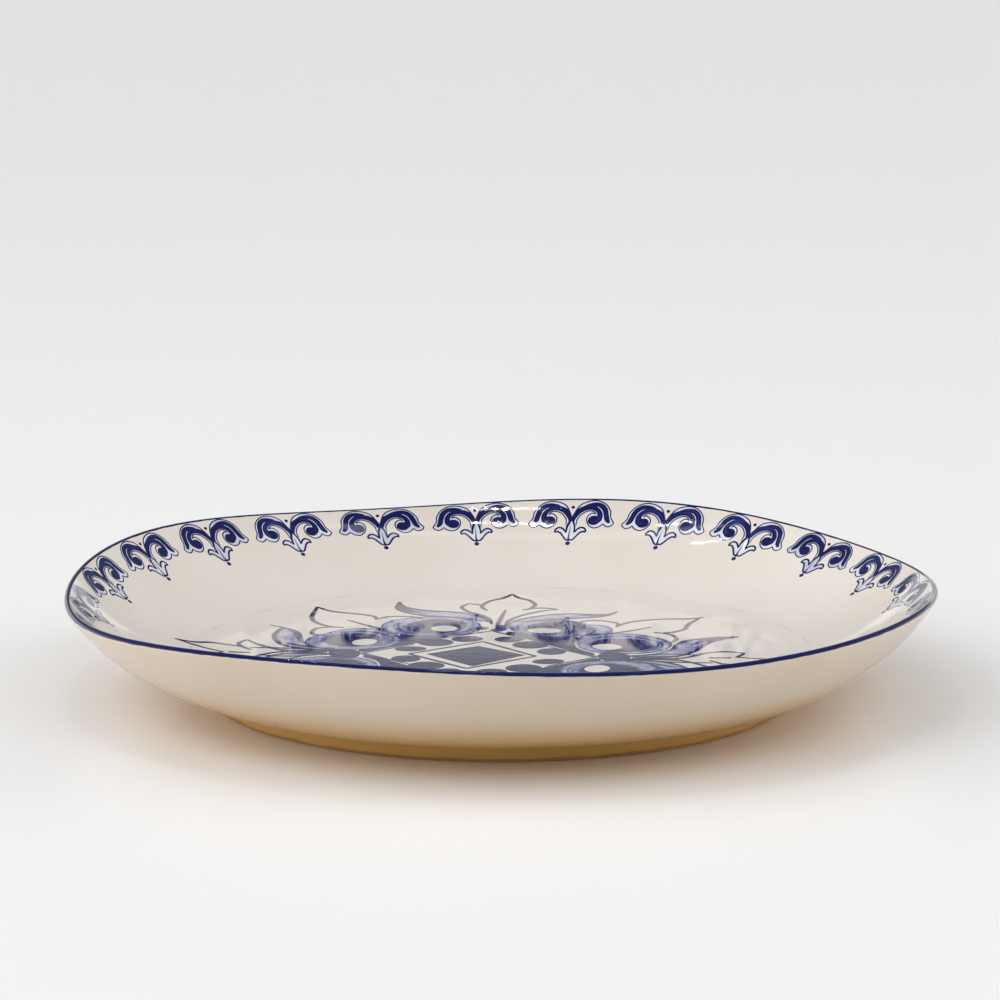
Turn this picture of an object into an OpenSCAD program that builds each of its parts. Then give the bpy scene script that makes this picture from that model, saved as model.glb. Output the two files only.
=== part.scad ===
// Serving plate with a wavy lip: a dish of fired clay on a foot ring, coated in cream
// glaze and brush painted in cobalt with a scrolled border and a square medallion.
// The origin is the middle of the face that the foot ring rests on, and Z is up.

/* [Dish] */
// Width across the lip
dish_d = 350; // [340:1:360]
// Mean height of the top of the lip above the table
lip_h = 46; // [44:0.5:49]
// Thickness across the rounded lip, with its coat
lip_t = 2.8; // [2.2:0.1:3.4]
// Height of the glazed well floor above the table
floor_h = 13.5; // [12.5:0.5:15]
// Radius of the bend from the well floor up the inside wall
inside_bend_r = 90; // [86:1:100]
// Radius of the bend up the outside wall
outside_bend_r = 83; // [78:1:90]

/* [Lip waves] */
// Height of the twofold wave in the lip
wave_2 = 1.4; // [0:0.1:2]
// Height of the threefold wave in the lip
wave_3 = 0.9; // [0:0.1:1.5]
// Height of the fourfold wave in the lip
wave_4 = 2.2; // [0:0.1:2.6]
// Height of the fivefold wave in the lip
wave_5 = 0.5; // [0:0.1:1]

/* [Foot ring] */
// Width across the foot where it meets the table
foot_d = 235; // [228:1:238]
// Height of the foot ring
foot_h = 6; // [5:0.5:6.5]
// Width of the bare band that the plate stands on
foot_band = 7; // [5:0.5:9]
// How far the foot's sides lean out towards the dish
foot_flare = 3; // [2:0.5:4]
// Height of the bare clay left below the coat
bare_h = 1.5; // [1:0.1:2.5]

/* [Coats] */
// Thickness of the glaze
glaze_t = 0.3; // [0.2:0.05:0.5]
// Thickness of the painted pigment
paint_t = 0.2; // [0.1:0.05:0.3]

/* [Painting] */
// Number of motifs round the border
motifs = 24; // [18:1:24]
// Turn of the border about the middle of the plate
border_turn = -4; // [-15:0.5:15]
// Turn of the medallion about its own middle
medallion_turn = -4; // [-10:1:10]

/* [Hidden] */

sides = 72;
wall_steps = 7;
lip_steps = 4;
lip_out = -30;
lip_in = 130;
coat_step = 1; // step of the bead up to which the outside coat climbs

clay = "#9c6b3f";
cream = "#e4ddd2";
cream_shade = "#d9cdbc";
cobalt = "#1f2767";
cobalt_wash = "#6f7dc0";

lip_r = dish_d / 2;
lip_mid = [lip_r - lip_t / 2, lip_h - lip_t / 2];
foot_r = foot_d / 2;
foot_top_r = foot_r + foot_flare + glaze_t;
foot_in_r = foot_r - foot_band - 2 * glaze_t;
foot_edge = 0.8;

// Rise of the lip over its mean height at an angle
function wave(a) = wave_2 * cos(2 * a + 153) + wave_3 * cos(3 * a - 85)
    + wave_4 * cos(4 * a + 101) + wave_5 * cos(5 * a);

// Share of the lip's wave that a point of the wall takes up
function share(r) = r <= foot_top_r ? 0 : pow((r - foot_top_r) / (lip_r - foot_top_r), 2);

// A point of a bend about a centre, at an angle from straight down
function on_bend(centre, r, a) = centre + r * [sin(a), -cos(a)];

// The lip's bead, with a coat of thickness t
function lip_point(a, t) = lip_mid + (lip_t / 2 - glaze_t + t) * [cos(a), sin(a)];
function lip_side(t) = [for (i = [0:lip_steps]) lip_point(lip_out + (lip_in - lip_out) * i / lip_steps, t)];

// The outside wall runs from the foot to the lip on one bend
wall_low = [foot_top_r, foot_h];
wall_high = lip_point(lip_out, 0);
wall_run = wall_high - wall_low;
wall_chord = norm(wall_run);
wall_centre = (wall_low + wall_high) / 2
    + sqrt(pow(outside_bend_r, 2) - pow(wall_chord / 2, 2)) * [-wall_run.y, wall_run.x] / wall_chord;
wall_from = asin((wall_low.x - wall_centre.x) / outside_bend_r);
wall_to = asin((wall_high.x - wall_centre.x) / outside_bend_r);
function outer_wall(t) = [for (i = [0:wall_steps])
    on_bend(wall_centre, outside_bend_r + t, wall_from + (wall_to - wall_from) * i / wall_steps)];

// The inside wall leaves the flat well floor smoothly and ends at the lip
dish_high = lip_point(lip_in, 0);
dish_rise = dish_high.y - (floor_h - glaze_t);
floor_r = dish_high.x - sqrt(2 * inside_bend_r * dish_rise - pow(dish_rise, 2));
dish_centre = [floor_r, floor_h - glaze_t + inside_bend_r];
dish_to = asin((dish_high.x - floor_r) / inside_bend_r);
function inner_wall(t) = [for (i = [wall_steps:-1:0])
    on_bend(dish_centre, inside_bend_r - t, dish_to * i / wall_steps)];

function backwards(list) = [for (i = [len(list) - 1:-1:0]) list[i]];

// One wavy ring of points for each point of a profile
function rings(profile) = [for (p = profile) for (i = [0:sides - 1])
    let (a = 360 * i / sides) [p.x * cos(a), p.x * sin(a), p.y + share(p.x) * wave(a)]];

// Two triangles for each square of the net between two rings
function net(low, high) = [for (i = [0:sides - 1])
    let (a = low * sides + i, b = low * sides + (i + 1) % sides,
         c = high * sides + (i + 1) % sides, d = high * sides + i)
    each [[a, d, c], [a, c, b]]];

// A ring turned from a closed outline that stays clear of the axis
module turned_ring(outline) {
    count = len(outline);
    faces = [for (j = [0:count - 1]) each net(j, (j + 1) % count)];
    polyhedron(rings(outline), faces, convexity = 8);
}

// A solid turned from a profile that runs from the axis, outwards and back to the axis
module turned_solid(low_z, profile, high_z) {
    count = len(profile);
    last = count * sides;
    low_fan = [for (i = [0:sides - 1]) [last, i, (i + 1) % sides]];
    top = (count - 1) * sides;
    high_fan = [for (i = [0:sides - 1]) [last + 1, top + (i + 1) % sides, top + i]];
    points = concat(rings(profile), [[0, 0, low_z], [0, 0, high_z]]);
    polyhedron(points, concat([for (j = [0:count - 2]) each net(j, j + 1)], low_fan, high_fan),
        convexity = 8);
}

module clay_body() {
    profile = concat(outer_wall(0), [for (i = [1:lip_steps - 1]) lip_side(0)[i]], inner_wall(0));
    color(clay) turned_solid(foot_h, profile, floor_h - glaze_t);
}

module foot_ring() {
    bottom_in = foot_r - foot_band;
    color(clay) rotate_extrude($fn = 180)
        polygon([[bottom_in, 0], [foot_r - foot_edge, 0], [foot_r, foot_edge],
                 [foot_r + foot_flare, foot_h], [foot_in_r - foot_flare, foot_h],
                 [bottom_in - foot_edge, foot_edge]]);
}

// The coat inside the dish, from the middle of the well to the lip
module glaze_inside() {
    coat = concat(backwards(inner_wall(0)), inner_wall(glaze_t));
    color(cream) turned_solid(floor_h - glaze_t, coat, floor_h);
}

// The coat on the outside wall, from the foot to just under the top of the lip
module glaze_outside() {
    outer = concat(outer_wall(glaze_t), [for (i = [1:coat_step]) lip_side(glaze_t)[i]]);
    inner = concat(outer_wall(0), [for (i = [1:coat_step]) lip_side(0)[i]]);
    color(cream_shade) turned_ring(concat(outer, backwards(inner)));
}

// The coat on the foot's two sides and across the underside of the well
module glaze_foot() {
    lean = foot_flare / (foot_h - foot_edge);
    out_low = foot_r + lean * (bare_h - foot_edge);
    in_top = foot_in_r - foot_flare;
    in_lean = (in_top - (foot_r - foot_band - foot_edge)) / (foot_h - foot_edge);
    in_low = foot_r - foot_band - foot_edge + in_lean * (bare_h - foot_edge);
    color(cream_shade) rotate_extrude($fn = 180) {
        polygon([[out_low, bare_h], [out_low + glaze_t, bare_h],
                 [foot_r + foot_flare + glaze_t * 2 / 3, foot_h], [foot_r + foot_flare, foot_h]]);
        polygon([[0, foot_h - glaze_t], [in_top - glaze_t, foot_h - glaze_t],
                 [in_low - glaze_t, bare_h], [in_low, bare_h], [in_top, foot_h], [0, foot_h]]);
    }
}

// The cobalt line along the rounded lip, where the two coats stop
module lip_line() {
    outer = [for (i = [coat_step:lip_steps]) lip_side(glaze_t)[i]];
    inner = [for (i = [coat_step:lip_steps]) lip_side(0)[i]];
    color(cobalt) turned_ring(concat(outer, backwards(inner)));
}

// Height of the glazed inside of the dish at a point of the plan, on the net's own flat facets
side_step = 360 / sides;
coat_heights = backwards(inner_wall(glaze_t));
coat_shares = [for (p = coat_heights) [p.x, share(p.x)]];
function facet_wave(a) = let (low = side_step * floor(a / side_step), part = (a - low) / side_step)
    wave(low) * (1 - part) + wave(low + side_step) * part;
function dish_z(p) =
    let (a = atan2(p.y, p.x), off_middle = a - side_step * (floor(a / side_step) + 0.5),
         corner_r = norm(p) * cos(off_middle) / cos(side_step / 2))
    lookup(corner_r, coat_heights) + lookup(corner_r, coat_shares) * facet_wave(a);
function on_dish(p, lift) = [p.x, p.y, dish_z(p) + lift];

// Direction of a path at one of its points
function heading(path, i) = let (a = path[max(0, i - 1)], b = path[min(len(path) - 1, i + 1)])
    (b - a) / norm(b - a);

// A flat brush stroke laid on the dish along plan points, with its width at each point
module stroke(path, widths) {
    count = len(path);
    points = [for (i = [0:count - 1])
        let (d = heading(path, i), side = [-d.y, d.x] * widths[i] / 2)
        each [on_dish(path[i] + side, 0), on_dish(path[i] - side, 0),
              on_dish(path[i] - side, paint_t), on_dish(path[i] + side, paint_t)]];
    body = [for (i = [0:count - 2]) for (k = [0:3])
        let (a = 4 * i + k, b = 4 * i + (k + 1) % 4) each [[a, b, b + 4], [a, b + 4, a + 4]]];
    end = 4 * (count - 1);
    polyhedron(points, concat([[0, 3, 2], [0, 2, 1]], body, [[end, end + 1, end + 2],
        [end, end + 2, end + 3]]), convexity = 4);
}

// A flat patch of paint laid on the dish inside a convex plan outline
module patch(outline) {
    count = len(outline);
    points = concat([for (p = outline) on_dish(p, 0)], [for (p = outline) on_dish(p, paint_t)]);
    sides_of = [for (i = [0:count - 1]) let (n = (i + 1) % count)
        each [[i, i + count, n + count], [i, n + count, n]]];
    caps = [for (i = [1:count - 2]) each [[0, i, i + 1], [count, count + i + 1, count + i]]];
    polyhedron(points, concat(sides_of, caps), convexity = 4);
}

// Border: a motif is drawn as s along the lip and t down the inside wall from it
function border_point(k, p, side) =
    let (bend = inside_bend_r - glaze_t, slope = dish_to - p.y / bend * 180 / PI,
         r = dish_centre.x + bend * sin(slope),
         a = 90 - border_turn - 360 * k / motifs - side * p.x / lip_r * 180 / PI)
    r * [cos(a), sin(a)];

scroll = [[0.8, 10.5], [2, 6], [5.5, 3.4], [10, 3.6], [13.4, 7], [13.2, 11], [11, 10.4]];
scroll_w = [0.6, 1.8, 2.4, 2.2, 2.4, 3.4, 4.2];
outer_foot = [[9, 2.2], [14.5, 3], [17.2, 7.5], [19, 12]];
outer_foot_w = [0.6, 2, 1.8, 0.4];
petal = [[0.3, 21], [4, 18.5], [7.6, 15.5]];
petal_w = [0.6, 2.4, 0.6];
stem = [[0, 11], [0, 17], [0, 21.5]];
stem_w = [0.6, 1.8, 0.8];
dot_places = [[0, 3], [0, 23.6]];
dot_r = 1;

module border_motif(k) {
    for (side = [-1, 1]) {
        stroke([for (p = scroll) border_point(k, p, side)], scroll_w);
        stroke([for (p = outer_foot) border_point(k, p, side)], outer_foot_w);
        stroke([for (p = petal) border_point(k, p, side)], petal_w);
    }
    stroke([for (p = stem) border_point(k, p, 1)], stem_w);
    for (place = dot_places)
        patch([for (a = [0:90:270]) border_point(k, place + dot_r * [sin(a), cos(a)], 1)]);
}

module border_painting() {
    color(cobalt) for (k = [0:motifs - 1]) border_motif(k);
}

// Medallion: drawn about its own middle, a quarter at a time
medallion_mid = [-9, 3];
square_half = 17;
frame_half = 26;
frame_w = 1.6;
kite_tip = 47;
oval_place = [30, 13];
oval_half = [6.5, 5.5];
eye_r = 10;
eye_ring = 54;
eye_w = 5;
ogee = [[-3, 58], [-6, 72], [-16, 84], [-14, 99], [0, 118], [13, 100], [15, 84], [6, 72], [3, 58]];
leaf = [[-8, 66], [-22, 75], [-32, 84], [-36, 100]];
leaf_w = [1, 6, 5, 1];
line_w = 1.2;

function turned(p, a) = [p.x * cos(a) - p.y * sin(a), p.x * sin(a) + p.y * cos(a)];
function placed(path, a) = [for (p = path) medallion_mid + turned(p, a + medallion_turn)];
function same(value, count) = [for (i = [1:count]) value];

module medallion_quarter(a) {
    stroke(placed([[0, frame_half], [frame_half, 0]], a), same(frame_w, 2));
    stroke(placed([[0, kite_tip], [kite_tip, 0]], a), same(frame_w, 2));
    stroke(placed(ogee, a), same(line_w, len(ogee)));
    for (side = [-1, 1]) {
        oval = [for (b = [0:60:300]) [side * oval_place.y, oval_place.x]
            + [oval_half.y * cos(b), oval_half.x * sin(b)]];
        patch(placed(oval, a));
        eye_at = eye_ring * [side * sin(22.5), cos(22.5)];
        stroke(placed([for (b = [0:40:320]) eye_at + eye_r * [sin(b), cos(b)]], a), same(eye_w, 9));
        stroke(placed([for (p = leaf) [side * p.x, p.y]], a), leaf_w);
    }
}

module medallion_painting() {
    color(cobalt_wash) {
        patch(placed([for (b = [0:90:270]) square_half * [cos(b), sin(b)]], 0));
        for (a = [0:90:270]) medallion_quarter(a);
    }
}

clay_body();
foot_ring();
glaze_inside();
glaze_outside();
glaze_foot();
lip_line();
border_painting();
medallion_painting();
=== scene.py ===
"""A round serving plate of fired clay with a wavy lip, cream glazed and painted in cobalt."""
import math
import random

import bmesh
import bpy
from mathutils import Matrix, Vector, geometry


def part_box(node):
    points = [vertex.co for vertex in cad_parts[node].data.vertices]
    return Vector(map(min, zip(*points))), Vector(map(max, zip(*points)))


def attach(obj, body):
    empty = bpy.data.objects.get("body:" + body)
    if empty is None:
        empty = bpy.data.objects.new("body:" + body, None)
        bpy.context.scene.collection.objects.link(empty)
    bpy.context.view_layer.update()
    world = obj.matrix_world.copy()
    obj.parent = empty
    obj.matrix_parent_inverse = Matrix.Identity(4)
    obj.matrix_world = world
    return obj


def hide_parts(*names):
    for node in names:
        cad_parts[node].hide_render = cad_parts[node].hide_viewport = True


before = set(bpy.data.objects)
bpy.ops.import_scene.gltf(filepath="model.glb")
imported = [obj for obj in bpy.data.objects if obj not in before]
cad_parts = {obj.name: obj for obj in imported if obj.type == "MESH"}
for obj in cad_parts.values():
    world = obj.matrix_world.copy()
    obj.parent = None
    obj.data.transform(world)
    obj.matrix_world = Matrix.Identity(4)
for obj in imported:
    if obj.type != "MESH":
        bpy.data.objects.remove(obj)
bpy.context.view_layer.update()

# ----------------------------------------------------------
# Fired clay dish
# Buff earthenware, turned: a flat well, one long bend up the wall and a thin rounded lip that
# was pushed into slow waves by hand while the clay was soft. The glaze hides all of it.
# ----------------------------------------------------------
MM = 0.001
foot_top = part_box("foot_ring")[1]
lip_r = round(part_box("lip_line")[1].x, 3)
lip_half = 1.4 * MM              # half the thickness across the glazed lip
lip_h = 46.0 * MM                # mean height of the lip
floor_z = 13.5 * MM              # glazed floor of the well
inside_bend = 90.0 * MM
outside_bend = 83.0 * MM
glaze = 0.3 * MM                 # thickness of the glaze
lip_from = math.radians(-30)     # where the lip's bead starts on the outside and ends inside
lip_to = math.radians(130)
coat_to = math.radians(10)       # how far up the bead the outside coat climbs
waves = [(2, 1.4, 153), (3, 0.9, -85), (4, 2.2, 101), (5, 0.5, 0)]   # times round, mm, degrees
lip_mid = Vector((lip_r - lip_half, lip_h - lip_half))
wall_r = foot_top.x + glaze      # the wall starts here, at the root of the foot


def arc(middle, radius, start, stop, steps):
    """Points of an arc, with angles counted from straight out towards up."""
    turns = [start + (stop - start) * i / steps for i in range(steps + 1)]
    return [middle + radius * Vector((math.cos(a), math.sin(a))) for a in turns]


def lip_bead(coat, start=lip_from, stop=lip_to, steps=14):
    """The rounded lip with a coat of that thickness, from its outside to its inside."""
    return arc(lip_mid, lip_half - glaze + coat, start, stop, steps)


def outer_wall(coat, steps=26):
    """The outside from the foot's root up to the lip."""
    low = Vector((wall_r, foot_top.z))
    high = lip_bead(0)[0]
    half = (high - low) / 2
    middle = low + half + Vector((-half.y, half.x)).normalized() * math.sqrt(
        outside_bend ** 2 - half.length_squared)
    start, stop = [math.atan2(p.y - middle.y, p.x - middle.x) for p in (low, high)]
    return arc(middle, outside_bend + coat, start, stop, steps)


dish_edge = lip_bead(0)[-1]
dish_rise = dish_edge.y - floor_z + glaze
floor_r = dish_edge.x - math.sqrt(2 * inside_bend * dish_rise - dish_rise ** 2)
dish_mid = Vector((floor_r, floor_z - glaze + inside_bend))
dish_slope = math.asin((dish_edge.x - floor_r) / inside_bend)
coat_bend = inside_bend - glaze  # the bend of the glazed surface that the painting lies on


def inner_wall(coat, steps=34):
    """The inside from the lip down to where the flat floor of the well begins."""
    down = -math.pi / 2
    return arc(dish_mid, inside_bend - coat, down + dish_slope, down, steps)


def add(tree, kind, *values, named=None, **settings):
    """Adds a node with its settings, and fills its inputs, first ones in order and then others
    by name or number, with values or links."""
    node = tree.nodes.new(kind)
    for setting, value in settings.items():
        setattr(node, setting, value)
    fills = list(zip(node.inputs, values))
    fills += [(node.inputs[key], value) for key, value in (named or {}).items()]
    for socket, value in fills:
        if isinstance(value, bpy.types.Node):
            value = value.outputs[0]
        if isinstance(value, bpy.types.NodeSocket):
            tree.links.new(value, socket)
        elif value is not None:
            socket.default_value = value
    return node


def new_tree(name, sizes):
    """An empty geometry tree with named inputs. Returns it and its inputs."""
    tree = bpy.data.node_groups.new(name, "GeometryNodeTree")
    tree.interface.new_socket("Geometry", in_out="INPUT", socket_type="NodeSocketGeometry")
    for label, kind in sizes.items():
        tree.interface.new_socket(label, in_out="INPUT", socket_type="NodeSocket" + kind)
    tree.interface.new_socket("Geometry", in_out="OUTPUT", socket_type="NodeSocketGeometry")
    return tree, tree.nodes.new("NodeGroupInput").outputs


def close_tree(tree, shape, material):
    """Ends a tree in Realize Instances and Set Material."""
    real = add(tree, "GeometryNodeRealizeInstances", shape)
    done = add(tree, "GeometryNodeSetMaterial", real, named={"Material": material})
    add(tree, "NodeGroupOutput", done)


def lip_rise(tree, inputs, radius, angle):
    """How far the hand pushed waves lift a point: nothing at the foot, all of it at the lip."""
    total = 0.0
    for times, height, phase in waves:
        turned = add(tree, "ShaderNodeMath", angle, float(times), math.radians(phase),
                     operation="MULTIPLY_ADD")
        cosine = add(tree, "ShaderNodeMath", turned, operation="COSINE")
        total = add(tree, "ShaderNodeMath", cosine, height * MM, total, operation="MULTIPLY_ADD")
    share = add(tree, "ShaderNodeMapRange", radius, inputs["Foot radius"], inputs["Lip radius"])
    squared = add(tree, "ShaderNodeMath", share, 2.0, operation="POWER")
    return add(tree, "ShaderNodeMath", squared, total, operation="MULTIPLY")


def polar(tree, radius, angle, height):
    """A place from its distance from the axis, its angle round it and its height."""
    cosine = add(tree, "ShaderNodeMath", angle, operation="COSINE")
    sine = add(tree, "ShaderNodeMath", angle, operation="SINE")
    across = add(tree, "ShaderNodeMath", radius, cosine, operation="MULTIPLY")
    along = add(tree, "ShaderNodeMath", radius, sine, operation="MULTIPLY")
    return add(tree, "ShaderNodeCombineXYZ", across, along, height)


def turned_ware():
    """Turns a profile round the upright axis, lets its loose points slip, and adds the waves."""
    tree, inputs = new_tree("turned_ware", {
        "Turns": "Int", "Foot radius": "Float", "Lip radius": "Float", "Slips round": "Float",
        "Material": "Material"})
    count = add(tree, "GeometryNodeAttributeDomainSize", inputs["Geometry"])
    columns = add(tree, "ShaderNodeMath", inputs["Turns"], 1.0, operation="ADD")
    net = add(tree, "GeometryNodeMeshGrid", 1.0, 1.0, columns, count.outputs["Point Count"])
    index = add(tree, "GeometryNodeInputIndex")
    share = add(tree, "ShaderNodeMath", index, count.outputs["Point Count"], operation="DIVIDE")
    column = add(tree, "ShaderNodeMath", share, operation="FLOOR")
    step = add(tree, "ShaderNodeMath", index, count.outputs["Point Count"], operation="MODULO")
    part = add(tree, "ShaderNodeMath", column, inputs["Turns"], operation="DIVIDE")
    angle = add(tree, "ShaderNodeMath", part, math.tau, operation="MULTIPLY")
    place = add(tree, "GeometryNodeInputPosition")
    point = add(tree, "GeometryNodeSampleIndex", inputs["Geometry"], place, step,
                data_type="FLOAT_VECTOR")
    loose = add(tree, "GeometryNodeInputNamedAttribute", "slip", data_type="FLOAT_VECTOR")
    slip = add(tree, "GeometryNodeSampleIndex", inputs["Geometry"], loose, step,
               data_type="FLOAT_VECTOR")
    noise = add(tree, "ShaderNodeTexNoise", named={
        "Vector": polar(tree, 1.0, angle, 0.0), "Scale": inputs["Slips round"], "Detail": 3.0})
    swing = add(tree, "ShaderNodeMapRange", noise, 0.3, 0.7, -1.0, 1.0)
    slipped = add(tree, "ShaderNodeVectorMath", slip, swing, point, operation="MULTIPLY_ADD")
    parts = add(tree, "ShaderNodeSeparateXYZ", slipped)
    rise = lip_rise(tree, inputs, parts.outputs["X"], angle)
    height = add(tree, "ShaderNodeMath", parts.outputs["Z"], rise, operation="ADD")
    target = polar(tree, parts.outputs["X"], angle, height)
    shaped = add(tree, "GeometryNodeSetPosition", net, named={"Position": target})
    closed = add(tree, "GeometryNodeMergeByDistance", shaped, named={"Distance": 0.002 * MM})
    close_tree(tree, closed, inputs["Material"])
    return tree


crease = math.radians(40)        # two faces that meet more sharply than this show an edge


def made(name, tree, start, **sizes):
    """Runs a tree on a starting mesh and returns the result as a plain object, faces outwards."""
    piece = bpy.data.objects.new(name, start)
    bpy.context.scene.collection.objects.link(piece)
    run = piece.modifiers.new("made", "NODES")
    run.node_group = tree
    for socket in tree.interface.items_tree:
        if socket.name.replace(" ", "_") in sizes:
            run[socket.identifier] = sizes[socket.name.replace(" ", "_")]
    view = bpy.context.evaluated_depsgraph_get()
    plain = bpy.data.meshes.new_from_object(piece.evaluated_get(view))
    piece.modifiers.clear()
    piece.data = plain
    shape = bmesh.new()
    shape.from_mesh(plain)
    if shape.calc_volume(signed=True) < 0:
        bmesh.ops.reverse_faces(shape, faces=shape.faces)
    shape.to_mesh(plain)
    shape.free()
    plain.shade_smooth()
    plain.set_sharp_from_angle(angle=crease)
    return piece


def profile_mesh(points, slips=None):
    """A profile as bare points, with how far the hand lets each one slip."""
    mesh = bpy.data.meshes.new("profile")
    mesh.from_pydata([(p[0], 0.0, p[1]) for p in points], [], [])
    loose = mesh.attributes.new("slip", "FLOAT_VECTOR", "POINT")
    for i, slip in (slips or {}).items():
        loose.data[i].vector = slip
    return mesh


def linear(code):
    """An sRGB hex colour as linear light, with full alpha."""
    parts = [int(code[i:i + 2], 16) / 255 for i in (1, 3, 5)]
    return [p / 12.92 if p <= 0.04045 else ((p + 0.055) / 1.055) ** 2.4 for p in parts] + [1.0]


def new_material(name):
    """A material's tree, its shader and the piece's own coordinates."""
    material = bpy.data.materials.new(name)
    material.use_nodes = True
    tree = material.node_tree
    tree.nodes.clear()
    shader = add(tree, "ShaderNodeBsdfPrincipled")
    add(tree, "ShaderNodeOutputMaterial", shader)
    return material, tree, shader, add(tree, "ShaderNodeTexCoord").outputs["Object"]


# The numbers of a colour mix's three colour sockets
mix_low, mix_high, mix_out = 6, 7, 2

# Biscuit fired buff earthenware: matt, with 11 mm clouds, 0.7 mm sand and specks of darker grog
# in cells of about 1 mm
clay, tree, shader, place = new_material("biscuit_fired_buff_clay")
clouds = add(tree, "ShaderNodeTexNoise", named={"Vector": place, "Scale": 90.0, "Detail": 4.0})
grains = add(tree, "ShaderNodeTexVoronoi", named={"Vector": place, "Scale": 900.0})
dark = add(tree, "ShaderNodeMapRange", grains, 0.08, 0.22, 1.0, 0.0)
body = add(tree, "ShaderNodeMix", clouds, data_type="RGBA",
           named={mix_low: linear("#b07f47"), mix_high: linear("#c89a62")})
grog = add(tree, "ShaderNodeMix", dark, data_type="RGBA",
           named={mix_low: body.outputs[mix_out], mix_high: linear("#7d5630")})
tree.links.new(grog.outputs[mix_out], shader.inputs["Base Color"])
sand = add(tree, "ShaderNodeTexNoise", named={"Vector": place, "Scale": 1400.0, "Detail": 3.0})
rough = add(tree, "ShaderNodeBump", named={"Strength": 0.5, "Distance": 0.1 * MM, "Height": sand})
tree.links.new(rough.outputs[0], shader.inputs["Normal"])
shader.inputs["Roughness"].default_value = 0.85
shader.inputs["IOR"].default_value = 1.5

turning = turned_ware()
shape_sizes = {"Turns": 360, "Foot_radius": wall_r, "Lip_radius": lip_r, "Slips_round": 9.0}
profile = [Vector((0, foot_top.z))] + outer_wall(0) + lip_bead(0)[1:-1] + inner_wall(0)
dish = made("dish_clay", turning, profile_mesh(profile + [Vector((0, floor_z - glaze))]),
            Material=clay, **shape_sizes)
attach(dish, "root")
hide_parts("clay_body")

# ----------------------------------------------------------
# Foot ring
# A low ring of the same clay, its sides leaning out towards the dish. Its resting band was
# sponged clean before firing, so it is the only bare clay on the plate.
# ----------------------------------------------------------
foot_r = 117.5 * MM              # where the outer side meets the table
foot_band = 7.0 * MM
foot_edge = 0.8 * MM             # rounding of the two edges of the resting band
foot_in = foot_r - foot_band
foot_in_top = foot_in - 2 * glaze - (foot_top.x - foot_r)
quarter = math.pi / 2
profile = [Vector((foot_in_top, foot_top.z))]
profile += arc(Vector((foot_in, foot_edge)), foot_edge, 2 * quarter, 3 * quarter, 5)
profile += arc(Vector((foot_r - foot_edge, foot_edge)), foot_edge, -quarter, 0, 5)
profile += [Vector((foot_top.x, foot_top.z)), Vector((foot_in_top, foot_top.z))]
foot = made("foot_ring_clay", turning, profile_mesh(profile), Material=clay, **shape_sizes)
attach(foot, "root")
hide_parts("foot_ring")

# ----------------------------------------------------------
# Cream glaze
# The dish was dipped, so one coat of cream lead-free glaze lies inside, outside and on the
# foot. Outside it is a darker, warmer copy as painted shade, ochre near the foot as a painted
# warm glow, and it stops in an uneven line above the resting band.
# ----------------------------------------------------------
guide_r = 126.0 * MM             # faint ring left by the guide line for the painting
painted_glow_top = 28.0 * MM               # height above which the painted warm glow of the shade under the plate has faded out


def fired_gloss(tree, shader, place, specular):
    """Glass fired over the clay: a high gloss on a slow orange-peel swell 4 to 5 mm across."""
    swell = add(tree, "ShaderNodeTexNoise", named={"Vector": place, "Scale": 220.0, "Detail": 3.0,
                                                   "Roughness": 0.62})
    skin = add(tree, "ShaderNodeBump", named={"Strength": 0.7, "Distance": 0.05 * MM,
                                              "Height": swell})
    tree.links.new(skin.outputs[0], shader.inputs["Normal"])
    shader.inputs["Roughness"].default_value = 0.05
    shader.inputs["IOR"].default_value = 1.5
    shader.inputs["Specular IOR Level"].default_value = specular


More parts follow.
